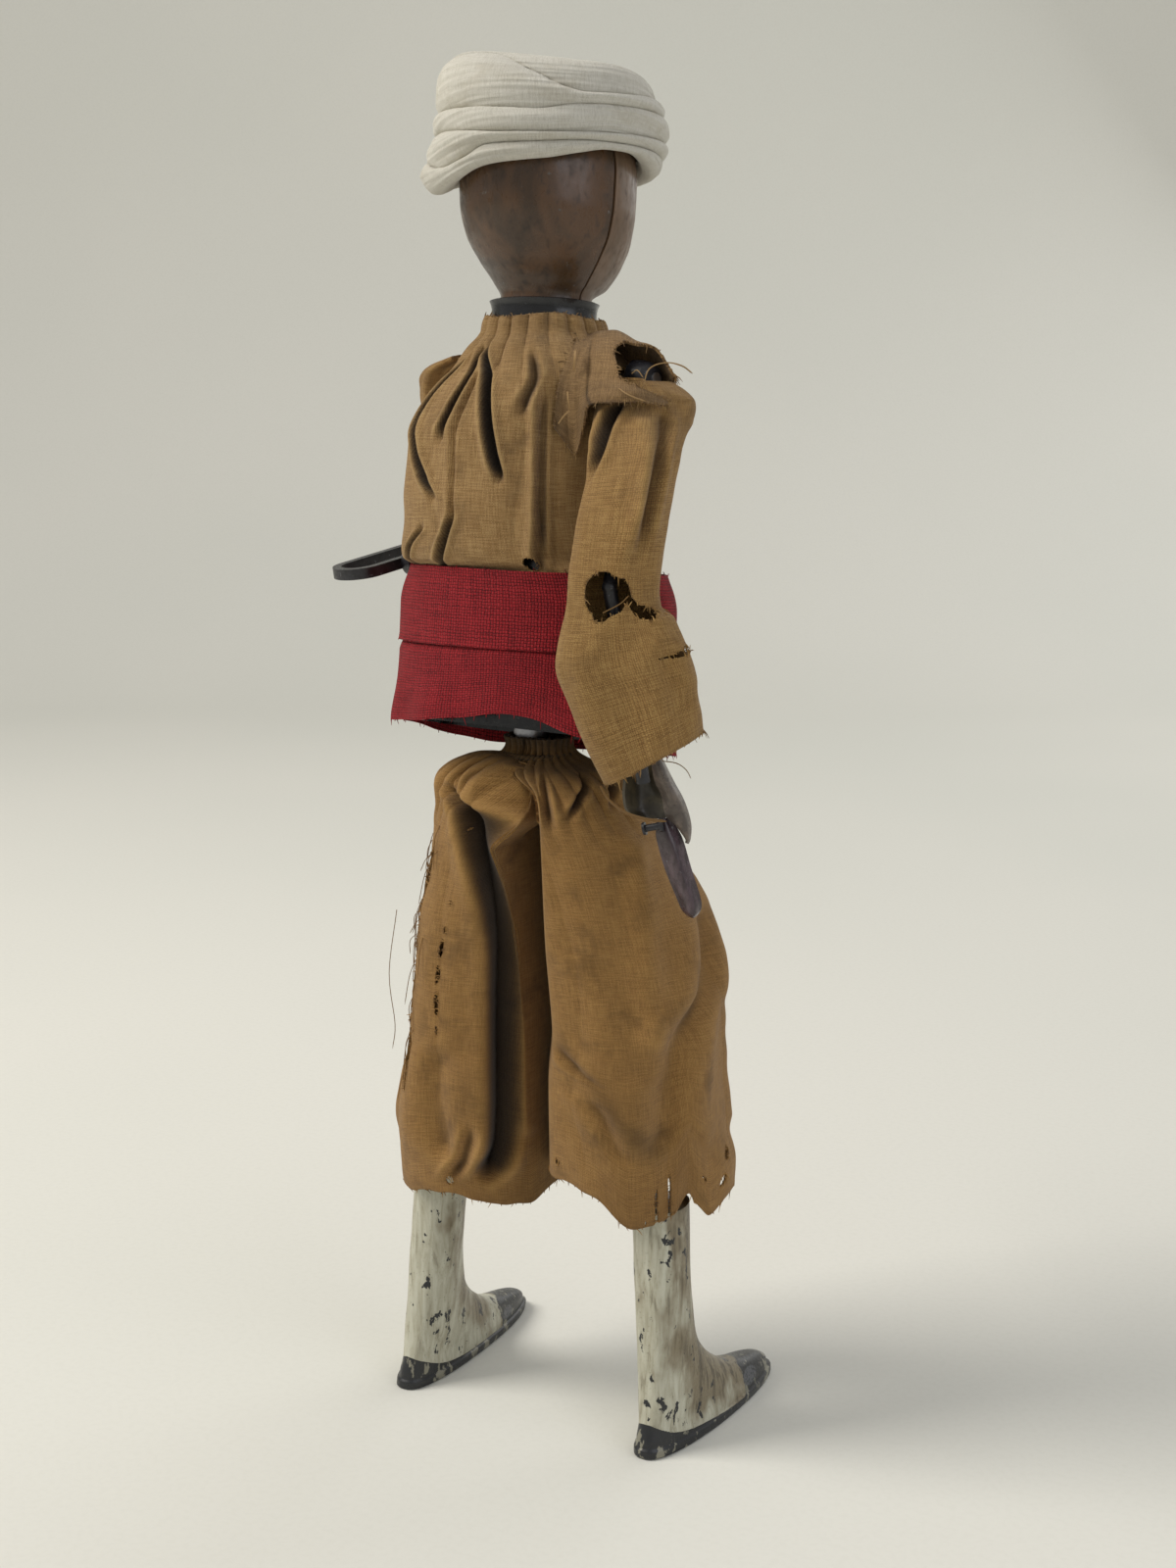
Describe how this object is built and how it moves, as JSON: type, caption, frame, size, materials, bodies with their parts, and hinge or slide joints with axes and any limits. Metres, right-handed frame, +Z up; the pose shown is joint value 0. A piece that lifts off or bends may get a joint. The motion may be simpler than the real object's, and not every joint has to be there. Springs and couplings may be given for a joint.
{
  "type": "clockwork toy figure",
  "caption": "Free-standing clockwork tin figure in a turban, linen shirt, red sash and baggy trousers, with cast feet, swinging wire arms and an oval winding key.",
  "frame": {"origin": "middle of the footprint of the whole figure, on the floor under its soles", "axes": "+Z up, the figure faces -Y, its left hand and its key are towards +X"},
  "size_m": [0.0642, 0.0954, 0.2007],
  "materials": {
    "black_tin": "glossy black paint, worn",
    "bright_steel": "satin, lightly rusted",
    "brass": "satin",
    "cast_feet": "cream paint, chipped, black soles",
    "brown_tin": "glossy brown paint, worn",
    "linen": "plain linen weave, aged",
    "red_tape": "coarse cotton tape, faded",
    "turban_cotton": "wound cotton strip, soiled"
  },
  "bodies": {
    "hips": {"left_foot": "cast_feet", "right_foot": "cast_feet", "left_leg_rod": "bright_steel", "right_leg_rod": "bright_steel", "leg_nuts": "bright_steel", "hip_plate": "black_tin", "waist_post": "bright_steel", "waist_fork": "bright_steel", "post_ring": "bright_steel", "trousers_left": "linen", "trousers_right": "linen", "waist_thread": "linen"},
    "torso": {"torso_back": "black_tin", "torso_front": "black_tin", "torso_floor": "black_tin", "floor_screws": "bright_steel", "left_plate": "brass", "right_plate": "brass", "pillars": "bright_steel", "mainspring": "bright_steel", "shoulder_bushes": "brass", "shirt": "linen", "sash_upper": "red_tape", "sash_lower": "red_tape"},
    "winding": {"winding_arbor": "bright_steel", "ratchet_wheel": "bright_steel", "key_hub": "black_tin", "key_bow": "black_tin"},
    "great": {"great_wheel": "brass", "click": "bright_steel", "click_rivet": "bright_steel"},
    "waist_gear": {"waist_arbor": "bright_steel", "waist_crank_disc": "brass"},
    "second": {"second_arbor": "bright_steel", "second_wheel": "brass", "crank_discs": "bright_steel"},
    "third": {"third_arbor": "bright_steel", "third_wheel": "brass"},
    "fly": {"fly_arbor": "bright_steel", "fly_blades": "brass"},
    "left_arm": {"left_shoulder_shaft": "bright_steel", "left_shoulder_cap": "black_tin", "left_arm_wire": "black_tin", "left_hand": "brown_tin", "left_fingers": "brown_tin", "left_hand_rivet": "bright_steel", "left_sleeve": "linen"},
    "right_arm": {"right_shoulder_shaft": "bright_steel", "right_shoulder_cap": "black_tin", "right_arm_wire": "black_tin", "right_hand": "brown_tin", "right_fingers": "brown_tin", "right_hand_rivet": "bright_steel", "right_sleeve": "linen"},
    "head": {"skull": "brown_tin", "face": "brown_tin", "turban": "turban_cotton"}
  },
  "joints": [
    {"name": "waist_turn", "type": "hinge", "parent": "hips", "child": "torso", "pos_m": [-0.0011, 0.0263, 0.105], "axis": [0, -0.0698, 0.9976], "range_deg": [-5, 19]},
    {"name": "key_wind", "type": "hinge", "parent": "torso", "child": "winding", "pos_m": [-0.0011, 0.02449, 0.13094], "axis": [-0.9925, 0.1216, 0.0085], "range_deg": [0, 1440]},
    {"name": "great_spin", "type": "hinge", "parent": "torso", "child": "great", "pos_m": [-0.0011, 0.02449, 0.13094], "axis": [0.9925, -0.1216, -0.0085], "continuous": true},
    {"name": "waist_gear_spin", "type": "hinge", "parent": "torso", "child": "waist_gear", "pos_m": [-0.0011, 0.02529, 0.11947], "axis": [0.9925, -0.1216, -0.0085], "continuous": true},
    {"name": "second_spin", "type": "hinge", "parent": "torso", "child": "second", "pos_m": [-0.0011, 0.02369, 0.14241], "axis": [0.9925, -0.1216, -0.0085], "continuous": true},
    {"name": "third_spin", "type": "hinge", "parent": "torso", "child": "third", "pos_m": [-0.0008, 0.0256, 0.15017], "axis": [0.9925, -0.1216, -0.0085], "continuous": true},
    {"name": "fly_spin", "type": "hinge", "parent": "torso", "child": "fly", "pos_m": [-0.00158, 0.01927, 0.14973], "axis": [0.9925, -0.1216, -0.0085], "continuous": true},
    {"name": "right_arm_swing", "type": "hinge", "parent": "torso", "child": "right_arm", "pos_m": [-0.01896, 0.02486, 0.15703], "axis": [-0.9925, 0.1216, 0.0085], "range_deg": [0, 17], "deforming": ["right_sleeve"]},
    {"name": "left_arm_swing", "type": "hinge", "parent": "torso", "child": "left_arm", "pos_m": [0.01677, 0.02049, 0.15672], "axis": [-0.9925, 0.1216, 0.0085], "range_deg": [-17, 0], "deforming": ["left_sleeve"]},
    {"name": "head_turn", "type": "hinge", "parent": "torso", "child": "head", "pos_m": [-0.0011, 0.02219, 0.16386], "axis": [0, -0.0698, 0.9976], "range_deg": [-35, 35]}
  ],
  "couplings": [
    {"joint": "waist_gear_spin", "follows": "great_spin", "ratio": -3.6},
    {"joint": "second_spin", "follows": "great_spin", "ratio": -3.6},
    {"joint": "third_spin", "follows": "great_spin", "ratio": 10.8},
    {"joint": "fly_spin", "follows": "great_spin", "ratio": -32.4},
    {"joint": "left_arm_swing", "follows": "right_arm_swing", "ratio": -1}
  ]
}
